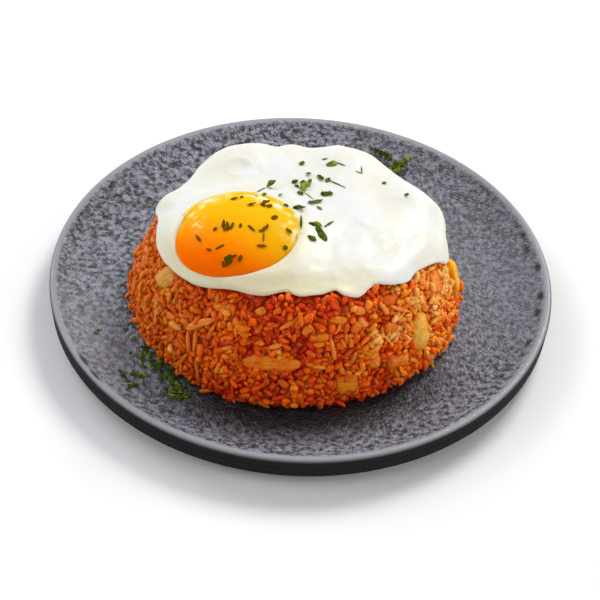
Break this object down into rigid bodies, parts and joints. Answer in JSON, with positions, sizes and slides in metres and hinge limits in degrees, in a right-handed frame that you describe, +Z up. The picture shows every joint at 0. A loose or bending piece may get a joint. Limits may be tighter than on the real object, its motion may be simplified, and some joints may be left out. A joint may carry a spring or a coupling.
{
  "type": "kimchi fried rice with a fried egg on a plate",
  "caption": "Moulded mound of red fried rice with chopped vegetables, draped with a sunny-side-up egg, served on a round dark stoneware plate.",
  "frame": {"origin": "on the table, under the middle of the plate", "axes": "+Z up; -Y towards the side from which the yolk shows at the front left; +X to the right of that view"},
  "size_m": [0.2, 0.2, 0.0581],
  "materials": {
    "stoneware": "rough dark grey stoneware with fine hammered relief and a smoother rounded lip",
    "rice": "oily red-orange rice grains",
    "egg_white": "glossy, slightly translucent cooked egg white",
    "egg_yolk": "glossy soft yolk, orange at the front and yellow on top",
    "kimchi": "wet amber, translucent",
    "cabbage": "wet pale yellow-green, translucent",
    "onion": "wet peach, translucent",
    "leaf": "matt dark green leaf"
  },
  "bodies": {
    "root": {"plate": "stoneware", "rice_mound": "rice", "egg_white": "egg_white", "egg_yolk": "egg_yolk", "kimchi_front": "kimchi", "kimchi_left": "kimchi", "kimchi_low_left": "kimchi", "kimchi_right": "kimchi", "kimchi_right_low": "kimchi", "kimchi_low_right": "kimchi", "kimchi_upper_right": "kimchi", "kimchi_edge": "kimchi", "cabbage_right": "cabbage", "cabbage_upper_left": "cabbage", "onion_left": "onion", "onion_upper_right": "onion", "parsley_leaf_back": "leaf", "parsley_leaf_front": "leaf"}
  },
  "joints": []
}
